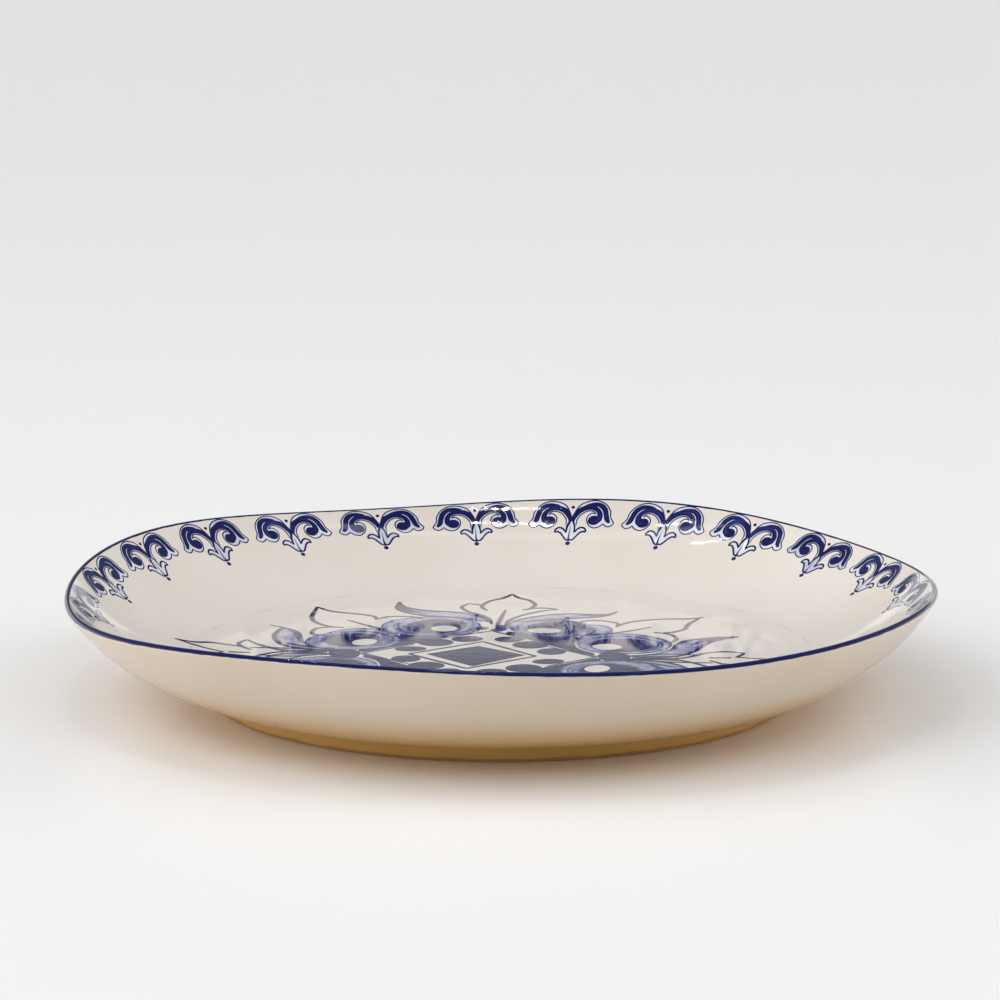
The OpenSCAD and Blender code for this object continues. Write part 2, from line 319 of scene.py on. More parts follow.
def glaze_material(name, pale, warm, thin):
    """Glossy tin-white glaze: soft clouds some 45 mm across, a fine orange-peel skin and, in one
    22 mm cell of fourteen, an iron speck. Low down it turns to a third colour, a painted warm
    glow that stands in for the shade under the plate."""
    material, tree, shader, place = new_material(name)
    clouds = add(tree, "ShaderNodeTexNoise", named={"Vector": place, "Scale": 22.0, "Detail": 3.0})
    fade = add(tree, "ShaderNodeMapRange", clouds, 0.35, 0.65)
    height = add(tree, "ShaderNodeSeparateXYZ", place).outputs["Z"]
    painted_glow_share = add(tree, "ShaderNodeMapRange", height, foot_top.z, painted_glow_top, 1.0, 0.0,
                  interpolation_type="SMOOTHSTEP")
    full = add(tree, "ShaderNodeMix", fade, data_type="RGBA",
               named={mix_low: linear(pale), mix_high: linear(warm)})
    # Painted warm glow: near the foot the colour turns to the third colour, which stands in for the
    # warm shade under the plate.
    coat = add(tree, "ShaderNodeMix", painted_glow_share, data_type="RGBA",
               named={mix_low: full.outputs[mix_out], mix_high: linear(thin)})
    cells = add(tree, "ShaderNodeTexVoronoi", named={"Vector": place, "Scale": 45.0})
    picked = add(tree, "ShaderNodeSeparateColor", cells.outputs["Color"])
    chosen = add(tree, "ShaderNodeMath", picked, 0.93, operation="GREATER_THAN")
    near = add(tree, "ShaderNodeMapRange", cells, 0.008, 0.02, 0.8, 0.0)
    speck = add(tree, "ShaderNodeMath", near, chosen, operation="MULTIPLY")
    flat = add(tree, "ShaderNodeVectorMath", place, (1.0, 1.0, 0.0), operation="MULTIPLY")
    radius = add(tree, "ShaderNodeVectorMath", flat, operation="LENGTH").outputs["Value"]
    off = add(tree, "ShaderNodeMath", radius, guide_r, operation="SUBTRACT")
    gap = add(tree, "ShaderNodeMath", off, operation="ABSOLUTE")
    ring = add(tree, "ShaderNodeMapRange", gap, 0.2 * MM, 1.1 * MM, 0.2, 0.0)
    smear = add(tree, "ShaderNodeTexNoise", named={"Vector": place, "Scale": 60.0, "Detail": 5.0})
    broken = add(tree, "ShaderNodeMapRange", smear, 0.45, 0.62)
    faint = add(tree, "ShaderNodeMath", ring, broken, operation="MULTIPLY")
    dotted = add(tree, "ShaderNodeMix", speck, data_type="RGBA",
                 named={mix_low: coat.outputs[mix_out], mix_high: linear("#5b4a3c")})
    marked = add(tree, "ShaderNodeMix", faint, data_type="RGBA",
                 named={mix_low: dotted.outputs[mix_out], mix_high: linear("#7f8aa8")})
    tree.links.new(marked.outputs[mix_out], shader.inputs["Base Color"])
    fired_gloss(tree, shader, place, 0.38)
    return material


cream = glaze_material("cream_glaze_inside", "#e2dbd3", "#dfd7ce", "#e2dbd3")
# The outside copy is darker and warmer than the inside as painted shade, and its ochre near the foot
# is a painted warm glow of the shade under the plate.
cream_in_painted_shade = glaze_material("cream_glaze_outside", "#d8cab8", "#d5c5b0", "#deb066")
well = [Vector((0, floor_z - glaze))]
coat_top = [Vector((0, floor_z))]
inside = well + inner_wall(0)[::-1] + inner_wall(glaze) + coat_top
outside = outer_wall(glaze) + lip_bead(glaze, stop=coat_to, steps=4)[1:]
outside += lip_bead(0, stop=coat_to, steps=4)[:0:-1] + outer_wall(0)[::-1]
outside.append(outside[0])

lean = (foot_top.x - foot_r) / (foot_top.z - foot_edge)
in_lean = (foot_in_top - foot_in + foot_edge) / (foot_top.z - foot_edge)
bare_h = 1.5 * MM                # height of the bare clay left below the coat
out_low = foot_r + lean * (bare_h - foot_edge)
in_low = foot_in - foot_edge + in_lean * (bare_h - foot_edge)
foot_outer = [Vector((out_low, bare_h)), Vector((out_low + glaze, bare_h)),
              Vector((foot_top.x + glaze, foot_top.z)), Vector((foot_top.x, foot_top.z)),
              Vector((out_low, bare_h))]
under = foot_top.z - glaze
foot_inner = [Vector((0, under)), Vector((foot_in_top - glaze, under)),
              Vector((in_low - glaze, bare_h)), Vector((in_low, bare_h)),
              Vector((foot_in_top, foot_top.z)), Vector((0, foot_top.z))]
sponge = 0.35 * MM
coats = [
    ("glaze_inside_coat", inside, {}, cream, "glaze_inside"),
    ("glaze_outside_coat", outside, {}, cream_in_painted_shade, "glaze_outside"),
    ("glaze_foot_outer_coat", foot_outer, {i: (0, 0, sponge) for i in (0, 1, 4)}, cream_in_painted_shade,
     "glaze_foot"),
    ("glaze_underside_coat", foot_inner, {i: (0, 0, sponge) for i in (2, 3)}, cream_in_painted_shade,
     "glaze_foot"),
]
for name, profile, slips, material, node in coats:
    coat = made(name, turning, profile_mesh(profile, slips), Material=material, **shape_sizes)
    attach(coat, "root")
    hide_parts(node)

# ----------------------------------------------------------
# Lip line
# One loaded brush of cobalt pulled round the rounded lip on a turntable. It stands a hair
# proud of the glaze, and its two edges wander with the hand.
# ----------------------------------------------------------
paint = 0.04 * MM                # how far the fired pigment stands above the glaze


def cobalt_material(name, deep, middle, pale):
    """Cobalt oxide fused into the glaze: near navy where thick, clear blue where it was thinned.
    The brush leaves streaks along its stroke, and thin washes pool, darker at their rims, in
    patches some 9 mm across."""
    material, tree, shader, place = new_material(name)
    shade, rim, hand = [add(tree, "ShaderNodeAttribute", attribute_name=note).outputs["Fac"]
                        for note in ("shade", "rim", "hand")]
    brush = add(tree, "ShaderNodeAttribute", attribute_name="brush").outputs["Vector"]
    streaks = add(tree, "ShaderNodeTexNoise", named={"Vector": brush, "Scale": 1.0, "Detail": 3.0})
    pools = add(tree, "ShaderNodeTexNoise", named={"Vector": place, "Scale": 110.0, "Detail": 2.0})
    streaked = add(tree, "ShaderNodeMapRange", streaks, 0.3, 0.7, -0.45, 0.45)
    pooled = add(tree, "ShaderNodeMapRange", pools, 0.3, 0.7, -0.35, 0.35)
    uneven = add(tree, "ShaderNodeMath", streaked, pooled, operation="ADD")
    thin = add(tree, "ShaderNodeMath", 1.2, shade, operation="SUBTRACT")
    spread = add(tree, "ShaderNodeMath", thin, shade, operation="MULTIPLY")
    mottled = add(tree, "ShaderNodeMath", uneven, spread, shade, operation="MULTIPLY_ADD")
    pulled = add(tree, "ShaderNodeMath", rim, 0.25, mottled, operation="MULTIPLY_ADD")
    handed = add(tree, "ShaderNodeMath", hand, 0.25, pulled, operation="MULTIPLY_ADD")
    strength = add(tree, "ShaderNodeClamp", handed)
    ramp = add(tree, "ShaderNodeValToRGB", strength)
    ramp.color_ramp.elements[0].color = linear(pale)
    ramp.color_ramp.elements[1].color = linear(deep)
    ramp.color_ramp.elements[1].position = 0.85
    ramp.color_ramp.elements.new(0.45).color = linear(middle)
    tree.links.new(ramp.outputs["Color"], shader.inputs["Base Color"])
    fired_gloss(tree, shader, place, 0.35)
    shader.inputs["Coat Weight"].default_value = 1.0
    shader.inputs["Coat Roughness"].default_value = 0.05
    return material


cobalt = cobalt_material("cobalt_underglaze", "#0a1150", "#3a478c", "#dcdde9")
over = math.radians(4)           # how far the line laps past the edges of the two coats
line_steps = 18
line_top = lip_bead(glaze + paint, coat_to - over, lip_to + over, line_steps)
line_low = lip_bead(glaze - paint, coat_to - over, lip_to + over, line_steps)
profile = line_top + line_low[::-1] + line_top[:1]
wander = math.radians(5) * lip_half
first, last = line_top[1] - line_top[0], line_top[-1] - line_top[-2]
slips = {}
for i in (0, len(profile) - 2, len(profile) - 1):
    slips[i] = (first.x / first.length * wander, 0, first.y / first.length * wander)
for i in (line_steps, line_steps + 1):
    slips[i] = (last.x / last.length * wander, 0, last.y / last.length * wander)
line = made("lip_line_paint", turning, profile_mesh(profile, slips), Material=cobalt,
            **dict(shape_sizes, Turns=720, Slips_round=25.0))
line.data.attributes.new("shade", "FLOAT", "POINT").data.foreach_set(
    "value", [0.9] * len(line.data.vertices))
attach(line, "root")
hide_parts("lip_line")

# ----------------------------------------------------------
# Border painting
# Twenty four mirrored scrolls, each with a small tulip below, brushed just inside the lip: dense
# strokes, a thin outline and a watery wash between. Drawn in millimetres and bent round the dish.
# ----------------------------------------------------------
motifs = 24
border_turn = math.radians(-4)
bristle = 0.8                    # mm between the streaks that the brush hairs leave
streak_run = 12                  # mm along a stroke over which a streak changes
root = -0.05                     # mm, how far a stroke's solid reaches down into the glaze
lap = 0.0003                     # mm that each stroke dries above the one before it
lean_by = 0.025                  # radians that the hand tilts a motif by, at most


def smooth(points, steps=6, closed=False):
    """A soft curve through a few points."""
    pts = [Vector(p) for p in points]
    count = len(pts)
    ends = range(count if closed else count - 1)
    curve = []
    for i in ends:
        b, c = pts[i], pts[(i + 1) % count]
        a = pts[i - 1] if closed or i > 0 else b
        d = pts[(i + 2) % count] if closed or i + 2 < count else c
        for k in range(steps):
            t = k / steps
            curve.append(0.5 * (2 * b + (c - a) * t + (2 * a - 5 * b + 4 * c - d) * t * t
                                + (3 * b - a - 3 * c + d) * t ** 3))
    return curve if closed else curve + [pts[-1]]


def oval(x, y, half_x, half_y, tilt=0, count=28):
    """An ellipse about a point, tilted by degrees."""
    turn = math.radians(tilt)
    ring = []
    for i in range(count):
        a = math.tau * i / count
        u, v = half_x * math.cos(a), half_y * math.sin(a)
        ring.append(Vector((x + u * math.cos(turn) - v * math.sin(turn),
                            y + u * math.sin(turn) + v * math.cos(turn))))
    return ring


def anticlockwise(loop):
    """The same closed outline, its points in anticlockwise order."""
    area = sum(a.x * b.y - b.x * a.y for a, b in zip(loop, [*loop[1:], loop[0]]))
    return list(loop) if area > 0 else list(loop)[::-1]


class Painting:
    """Brush strokes and filled patches laid flat in millimetres, as thin closed solids."""

    def __init__(self, seed):
        self.points = []
        self.faces = []
        self.notes = {"shade": [], "rim": []}
        self.brush = []
        self.random = random.Random(seed)
        self.laps = 0

    def over_last(self, top):
        """The height of the next stroke, which lies over all the earlier ones."""
        self.laps += 1
        return top + self.laps * lap

    def point(self, p, z, shade, rim, brush):
        self.points.append((p[0] * MM, p[1] * MM, z * MM))
        self.notes["shade"].append(shade)
        self.notes["rim"].append(rim)
        self.brush.append(brush)
        return len(self.points) - 1

    def stroke(self, path, widths, shade=0.9, top=0.045, steps=6, rows=2):
        """A brush stroke along a soft curve, with its width given at each point."""
        top = self.over_last(top)
        run = smooth([(p[0], p[1], w) for p, w in zip(path, widths)], steps)
        seed = self.random.uniform(0, 50)
        along = 0.0
        sections = []
        for i, here in enumerate(run):
            ahead = (run[min(i + 1, len(run) - 1)] - run[max(i - 1, 0)]).xy
            side = Vector((-ahead.y, ahead.x)).normalized()
            along += (here - run[max(i - 1, 0)]).xy.length
            half = max(here.z, 0.12) / 2
            section = []
            for z in (top, root):
                for k in range(rows + 1):
                    off = (1 - 2 * k / rows) * (1 if z > 0 else -1) * half
                    edge = 1.0 if k in (0, rows) else 0.0
                    section.append(self.point(here.xy + side * off, z, shade, edge,
                                              (off / bristle, along / streak_run, seed)))
            sections.append(section)
        size = len(sections[0])
        for a, b in zip(sections, sections[1:]):
            for k in range(size):
                n = (k + 1) % size
                self.faces.append((a[k], a[n], b[n], b[k]))
        self.faces.append(tuple(sections[0][::-1]))
        self.faces.append(tuple(sections[-1]))

    def patch(self, outline, holes=(), shade=0.8, top=0.03, grain=0.0, rim=1.0):
        """A filled shape, with points enough inside it to follow the bend of the dish."""
        spacing = 2.5
        clear = 0.6 * spacing
        top = self.over_last(top)
        loops = [anticlockwise(loop) for loop in (outline, *holes)]
        flat = [p.xy for loop in loops for p in loop]
        rings = []
        for loop in loops:
            start = sum(len(ring) for ring in rings)
            rings.append(list(range(start, start + len(loop))))
        on_rim = len(flat)
        low_x, low_y = min(p.x for p in flat), min(p.y for p in flat)
        wide, high = max(p.x for p in flat) - low_x, max(p.y for p in flat) - low_y
        for row in range(1, int(high / spacing) + 1):
            for column in range(1, int(wide / spacing) + 1):
                p = Vector((low_x + column * spacing, low_y + row * spacing))
                if min((p - q).length for q in flat[:on_rim]) > clear:
                    flat.append(p)
        found = geometry.delaunay_2d_cdt(flat, [], rings, 0, 1e-5, True)
        corners, origins = found[0], found[3]
        triangles = [t for t, owners in zip(found[2], found[5]) if set(owners) == {0}]
        seed = self.random.uniform(0, 50)
        turn = Vector((math.cos(math.radians(grain)), math.sin(math.radians(grain))))
        numbers = {}
        for v in sorted({v for t in triangles for v in t}):
            edge = rim if any(o < on_rim for o in origins[v]) else 0.0
            p = corners[v]
            across = (p.y * turn.x - p.x * turn.y) / (1.5 * bristle)
            streak = (across, p.dot(turn) / streak_run, seed)
            numbers[v] = (self.point(p, top, shade, edge, streak),
                          self.point(p, root, shade, edge, streak))
        seen = {}
        for a, b, c in triangles:
            self.faces.append((numbers[a][0], numbers[b][0], numbers[c][0]))
            self.faces.append((numbers[c][1], numbers[b][1], numbers[a][1]))
            for pair in ((a, b), (b, c), (c, a)):
                seen[pair] = True
        for a, b in seen:
            if (b, a) not in seen:
                self.faces.append((numbers[a][0], numbers[a][1], numbers[b][1], numbers[b][0]))

    def mesh(self, name):
        mesh = bpy.data.meshes.new(name)
        mesh.from_pydata(self.points, [], self.faces)
        for note, values in self.notes.items():
            mesh.attributes.new(note, "FLOAT", "POINT").data.foreach_set("value", values)
        flat = [v for b in self.brush for v in b]
        mesh.attributes.new("brush", "FLOAT_VECTOR", "POINT").data.foreach_set("vector", flat)
        return mesh


def border_strip():
    """Repeats a motif along a strip, each a little different, and bends the strip round the wall."""
    tree, inputs = new_tree("border_strip", {
        "Motifs": "Int", "Bend": "Float", "Floor radius": "Float", "Floor height": "Float",
        "Slope": "Float", "Turn": "Float", "Foot radius": "Float", "Lip radius": "Float",
        "Height scale": "Float", "Below lip": "Float", "Unevenness": "Float", "Seed": "Int",
        "Material": "Material"})
    pitch = add(tree, "ShaderNodeMath", inputs["Lip radius"], math.tau / motifs,
                operation="MULTIPLY")
    offset = add(tree, "ShaderNodeCombineXYZ", pitch, 0.0, 0.0)
    spots = add(tree, "GeometryNodeMeshLine", named={"Count": inputs["Motifs"],
                                                     "Offset": offset})
    low = add(tree, "ShaderNodeMath", 1.0, inputs["Unevenness"], operation="SUBTRACT")
    high = add(tree, "ShaderNodeMath", 1.0, inputs["Unevenness"], operation="ADD")
    low_xyz = add(tree, "ShaderNodeCombineXYZ", low, low, 1.0)
    high_xyz = add(tree, "ShaderNodeCombineXYZ", high, high, 1.0)
    scale = add(tree, "FunctionNodeRandomValue", low_xyz, high_xyz, data_type="FLOAT_VECTOR",
                named={"Seed": inputs["Seed"]})
    lean = add(tree, "FunctionNodeRandomValue", (0.0, 0.0, -lean_by), (0.0, 0.0, lean_by),
               data_type="FLOAT_VECTOR", named={"Seed": inputs["Seed"]})
    drawn = add(tree, "GeometryNodeInstanceOnPoints", spots,
                named={"Instance": inputs["Geometry"], "Scale": scale, "Rotation": lean})
    mood = add(tree, "FunctionNodeRandomValue", data_type="FLOAT", named={"Seed": inputs["Seed"]})
    mood_value = add(tree, "ShaderNodeMath", [o for o in mood.outputs if o.enabled][0], -0.5,
                     operation="ADD")
    signed = add(tree, "GeometryNodeStoreNamedAttribute", drawn, domain="INSTANCE",
                 data_type="FLOAT", named={"Name": "hand", "Value": mood_value})
    real = add(tree, "GeometryNodeRealizeInstances", signed)
    place = add(tree, "ShaderNodeSeparateXYZ", add(tree, "GeometryNodeInputPosition"))
    down = add(tree, "ShaderNodeMath", place.outputs["Y"], inputs["Height scale"],
               inputs["Below lip"], operation="MULTIPLY_ADD")
    part = add(tree, "ShaderNodeMath", place.outputs["X"], inputs["Lip radius"],
               operation="DIVIDE")
    angle = add(tree, "ShaderNodeMath", inputs["Turn"], part, operation="SUBTRACT")
    fall = add(tree, "ShaderNodeMath", down, inputs["Bend"], operation="DIVIDE")
    slope = add(tree, "ShaderNodeMath", inputs["Slope"], fall, operation="SUBTRACT")
    sine = add(tree, "ShaderNodeMath", slope, operation="SINE")
    radius = add(tree, "ShaderNodeMath", sine, inputs["Bend"], inputs["Floor radius"],
                 operation="MULTIPLY_ADD")
    laid = on_surface(tree, inputs, real, sine, radius, angle, place.outputs["Z"])
    close_tree(tree, laid, inputs["Material"])
    return tree


def on_surface(tree, inputs, shape, sine, radius, angle, lift):
    """Lays a flat drawing on the glaze. The sine is that of the wall's slope under each point."""
    square = add(tree, "ShaderNodeMath", sine, sine, operation="MULTIPLY")
    rest = add(tree, "ShaderNodeMath", 1.0, square, operation="SUBTRACT")
    upright = add(tree, "ShaderNodeMath", rest, operation="SQRT")
    pull = add(tree, "ShaderNodeMath", lift, sine, operation="MULTIPLY")
    reach = add(tree, "ShaderNodeMath", radius, pull, operation="SUBTRACT")
    sunk = add(tree, "ShaderNodeMath", 1.0, upright, operation="SUBTRACT")
    climb = add(tree, "ShaderNodeMath", sunk, inputs["Bend"], inputs["Floor height"],
                operation="MULTIPLY_ADD")
    lifted = add(tree, "ShaderNodeMath", lift, upright, climb, operation="MULTIPLY_ADD")
    rise = lip_rise(tree, inputs, reach, angle)
    height = add(tree, "ShaderNodeMath", lifted, rise, operation="ADD")
    target = polar(tree, reach, angle, height)
    return add(tree, "GeometryNodeSetPosition", shape, named={"Position": target})


# One half of the motif, drawn to the right of its middle line
scroll = [(0.5, 10.8), (1.2, 8.2), (3, 5.4), (5.8, 3.7), (9, 3.4), (11.8, 4.6), (13.3, 7),
          (13, 9.6), (11.4, 10.8)]
scroll_w = [1.6, 2.4, 2.9, 2.7, 2.3, 2.3, 2.6, 3.2, 3]
hood = [(7, 1.7), (10, 1.5), (13, 2.2), (15.2, 4.2), (16.3, 7), (17.1, 9.6), (18.6, 11.5)]
hood_w = [0.6, 1.7, 2.4, 2.6, 2.5, 2.4, 1.2]
crown = [(4.6, 3), (7, 2.1), (9.5, 1.9), (12, 2.7)]
crown_w = [0.4, 1.2, 1.5, 0.6]
outline = [(0, 8.6), (1.8, 4.5), (3.8, 1.7), (7.3, 0.1), (11.3, -0.2), (15.3, 1.5), (18, 5),
           (18.7, 8.5), (20.5, 11.2), (20.3, 12.4), (18.6, 13.6), (16.6, 13.1), (15.5, 12.1),
           (14.3, 13.4), (11.6, 14.4), (9.1, 13.4), (7.5, 11), (7.3, 8.6), (8.6, 6.8),
           (10.3, 6.3), (11.3, 7)]
inner_line = [(2.5, 13), (2.6, 10), (3.9, 7.6), (5.9, 5.8), (8.3, 5), (10.3, 5.5), (11.4, 6.9)]
petal_side = [(0, 9.8), (1, 11.5), (1.8, 14), (2, 17.2)]
petal_side_w = [1.3, 1.3, 1.1, 0.7]
leaf_low = [(0, 21.4), (1.6, 21.4), (3.2, 19.4), (4.6, 17.5), (6.2, 16.5), (7.6, 16.9)]
leaf_high = [(7.6, 16.9), (7.4, 15.4), (5.8, 14.2), (3.8, 14.8), (2.1, 16.8)]
stem = [(0.1, 12.8), (-0.1, 16.5), (-0.2, 19.5), (-0.3, 22.2)]
fine = 0.6                       # mm, width of the outliner brush


def line_widths(path, width, taper=0.6):
    """An even line that thins a little at both ends."""
    return [width * taper] + [width] * (len(path) - 2) + [width * taper]


motif = Painting(seed=4)
for side in (1, -1):
    hooked, curl, bulge, leaf_top, leaf_base, petal = [
        [(side * x, y) for x, y in path]
        for path in (outline, inner_line, outline[:13], leaf_high, leaf_low, petal_side)]
    wash = smooth(bulge, 4) + smooth(hooked[13:], 4) + smooth(curl[::-1], 4)
    motif.patch(wash, shade=0, top=0.02, rim=0)
    motif.patch(smooth(petal, 4) + smooth(leaf_top[::-1], 4) + smooth(leaf_base[::-1], 4),
                shade=0, top=0.02, rim=0)
    motif.stroke([(side * x, y) for x, y in crown], crown_w, shade=0.6, top=0.035)
    motif.stroke([(side * x, y) for x, y in scroll], scroll_w, shade=0.84)
    motif.patch(oval(side * 10.7, 10.2, 2.9, 2.6), shade=0.88, top=0.04)
    motif.stroke([(side * x, y) for x, y in hood], hood_w, shade=0.82)
    motif.stroke(hooked, line_widths(hooked, fine), shade=0.82, top=0.05, steps=4)
    motif.stroke(curl, line_widths(curl, fine), shade=0.82, top=0.05, steps=4)
    for path in (leaf_base, leaf_top):
        motif.stroke(path, line_widths(path, 0.95, taper=0.8), shade=0.85, top=0.05, steps=4)
    motif.stroke(petal, petal_side_w, shade=0.9, top=0.05)
motif.stroke(stem, [0.5, 0.8, 1.2, 1.1], shade=0.85, top=0.05)
motif.patch(oval(0, 3.1, 0.85, 0.8, count=16), shade=1, top=0.05)
motif.patch(oval(-0.3, 23.6, 1.2, 1.2, count=16), shade=0.5, top=0.055)
border = made("border_painting_motifs", border_strip(), motif.mesh("motif"), Motifs=motifs,
              Bend=coat_bend, Floor_radius=floor_r, Floor_height=floor_z, Slope=dish_slope,
              Turn=quarter - border_turn, Foot_radius=wall_r, Lip_radius=lip_r,
              Height_scale=0.94, Below_lip=0.7 * MM, Unevenness=0.02, Seed=7, Material=cobalt)
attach(border, "root")
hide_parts("border_painting")

# ----------------------------------------------------------
# Medallion painting
# A square in a square, ovals between them, eight eyes with pale rings round it, and leaves and
# petals outside. Each half is the other turned half way round. Drawn in plan, in millimetres.
# ----------------------------------------------------------
centre = Vector((-9, 3))
rule = 1.9                       # mm, width of the drawn lines


def medallion_lay():
    """Lays the flat plan drawing on the well and up the start of the wall."""
    tree, inputs = new_tree("medallion_lay", {
        "Bend": "Float", "Floor radius": "Float", "Floor height": "Float",
        "Foot radius": "Float", "Lip radius": "Float", "Material": "Material"})
    place = add(tree, "ShaderNodeSeparateXYZ", add(tree, "GeometryNodeInputPosition"))
    flat = add(tree, "ShaderNodeCombineXYZ", place.outputs["X"], place.outputs["Y"], 0.0)
    radius = add(tree, "ShaderNodeVectorMath", flat, operation="LENGTH").outputs["Value"]
    angle = add(tree, "ShaderNodeMath", place.outputs["Y"], place.outputs["X"],
                operation="ARCTAN2")
    past = add(tree, "ShaderNodeMath", radius, inputs["Floor radius"], operation="SUBTRACT")
    on_wall = add(tree, "ShaderNodeMath", past, 0.0, operation="MAXIMUM")
    sine = add(tree, "ShaderNodeMath", on_wall, inputs["Bend"], operation="DIVIDE")
    laid = on_surface(tree, inputs, inputs["Geometry"], sine, radius, angle,
                      place.outputs["Z"])
    close_tree(tree, laid, inputs["Material"])
    return tree


def halves(points):
    """A path on the back half, and the same turned half way round the medallion."""
    here = [Vector(p) for p in points]
    return here, [2 * centre - p for p in here]


class Half:
    """Draws everything twice, once for each half of the medallion."""

    def __init__(self, seed):
        self.painting = Painting(seed)

    def stroke(self, path, widths=None, **look):
        widths = widths or line_widths(path, rule)
        for run in halves(path):
            self.painting.stroke(run, widths, **look)

    def patch(self, outline, holes=(), turned_hole=(0, 0), **look):
        """turned_hole: how far the turned half's holes lie from where the turn puts them."""
        here, turned = halves(outline)
        self.painting.patch(here, [halves(h)[0] for h in holes], **look)
        moved = [[p + Vector(turned_hole) for p in halves(h)[1]] for h in holes]
        self.painting.patch(turned, moved, **look)


washes = Half(seed=11)
fills = Half(seed=12)
lines = Half(seed=13)

# The square and the kites and ovals round it
fills.painting.patch([Vector(p) for p in ((-30.5, 5), (-9.5, 20), (10, 3), (-11.5, -17))],
                     shade=0.98, grain=40)
square = [(-37.5, 5.5), (-7.5, 28), (14, 1), (-14, -21)]
for here, ahead in zip(square, square[1:] + square[:1]):
    lines.painting.stroke([Vector(here), Vector(here).lerp(Vector(ahead), 0.5), Vector(ahead)],
                          [1.5, 1.8, 1.5], shade=0.95)
for x, y, wide, high, tilt in ((-37, 14.5, 6.6, 4.6, 8), (-14, 33, 6.6, 5.6, 12),
                               (3, 32, 5.8, 5.2, -10), (20.5, 9.5, 6, 6, 40)):
    fills.patch(oval(x, y, wide, high, tilt), shade=0.95, grain=30)
for x, y in ((-27, 26.5), (12, 22)):
    fills.patch(oval(x, y, 7.4, 7), shade=0.92, grain=60)
lines.stroke([(-57, 6), (-46, 15), (-36, 23)], [1, 1.2, 0.8], shade=0.9)
lines.stroke([(-22, 36), (-13, 42.5), (-4, 48.5)], [0.8, 1.2, 1], shade=0.9)
lines.stroke([(-4, 48.5), (4, 40), (10, 31)], [1, 1.3, 1], shade=0.9)
lines.stroke([(18, 20), (28, 10), (38.5, -1.5)], [0.8, 1.2, 1], shade=0.9)
lines.stroke([(-57, 6), (-50, -2.5), (-42, -14)], [1, 1.2, 0.8], shade=0.9)

# The cobalt ground between the square and the eyes
fills.patch(smooth([(-56, 8.5), (-47, 16), (-38, 22.5), (-31, 29), (-22, 36), (-24, 39),
                    (-33, 39.5), (-41, 42), (-42.5, 36), (-41, 29), (-44, 21), (-50, 16),
                    (-58, 14)], 3, closed=True), shade=0.85, top=0.02, grain=75)
fills.patch(smooth([(2, 43), (11, 32.5), (19, 22), (29, 10), (36, 3), (38, 6), (33, 12),
                    (30.5, 20), (31, 29), (32, 37), (22, 37.5), (12, 40.5), (5, 47)], 3,
                   closed=True), shade=0.88, top=0.02, grain=80)
fills.patch(smooth([(-57, 7), (-61, 13.5), (-69, 12), (-70, 5), (-67, -1), (-60, -3)], 3,
                   closed=True), shade=0.8, top=0.02, grain=20)
fills.patch(oval(-8, 54, 3, 3, count=18), shade=0.9)
fills.patch(smooth([(-5, 49.5), (-2, 54), (-2, 60), (1, 60), (3, 53), (-1, 47)], 3,
                   closed=True), shade=0.55, top=0.02, grain=90)

# The eyes: pale ring, cobalt iris, a bare oval of glaze, and how far the turned eye's oval lies
# from where the turn puts it
eyes = [
    ([(-46, 70), (-50, 60), (-49, 50), (-42, 42), (-30, 39), (-20, 40), (-12, 45), (-8.5, 54),
      (-10, 66), (-17, 74), (-27, 77), (-37, 75.5)],
     oval(-27, 57.5, 12, 13.5, -20), oval(-23.8, 53.3, 5.6, 5.9), (0, 0)),
    ([(4.5, 67), (3, 58), (6, 48), (13, 40.5), (22, 37.5), (31, 38.5), (38, 44), (39, 54),
      (35, 64), (26, 71), (15, 72)],
     smooth([(10.5, 55), (14, 61), (20, 66.5), (28, 67), (34.5, 62), (37, 54), (34, 47),
             (27, 43.5), (17, 43), (10.5, 48)], 4, closed=True), oval(18, 49.3, 7.2, 5.1),
     (0, 0)),
    ([(-72, 45), (-68, 50), (-60, 53.5), (-52, 52), (-46, 45), (-42, 37), (-41, 29), (-45, 20),
      (-52, 15), (-62, 13), (-72, 14), (-79, 20), (-81, 28), (-79, 37)],
     oval(-61, 31.5, 12, 12), oval(-56.3, 27.3, 5, 6.4, -20), (0, 0)),
    ([(33, 38), (40, 42.5), (49, 43.5), (58, 41), (66, 34), (70, 24), (67, 13), (59, 6.5),
      (49, 5), (40, 7), (33, 14), (31, 25)],
     oval(49.5, 21.5, 12.5, 12), oval(43.3, 18.3, 6.2, 5.6), (-1, -6)),
]
for ring, iris, gleam, turned_hole in eyes:
    middle = sum(iris, Vector((0, 0))) / len(iris)
    washes.patch(smooth(ring, 4, closed=True), [iris], shade=0.2, top=0.02, grain=50)
    fills.patch(iris, [gleam], turned_hole, shade=0.85, grain=65)
    path = []
    for p in ring[: len(ring) * 2 // 3]:
        spoke = Vector(p) - middle
        nearest = min(iris, key=lambda q: -(q - middle).normalized().dot(spoke.normalized()))
        path.append(nearest.lerp(Vector(p), 0.45))
    washes.stroke(path, [0.5] + [2.6] * (len(path) - 2) + [0.5], shade=0.3, top=0.03)
    drawn_part = ring[: len(ring) * 3 // 4]
    lines.stroke(drawn_part, line_widths(drawn_part, 0.7), shade=0.55)

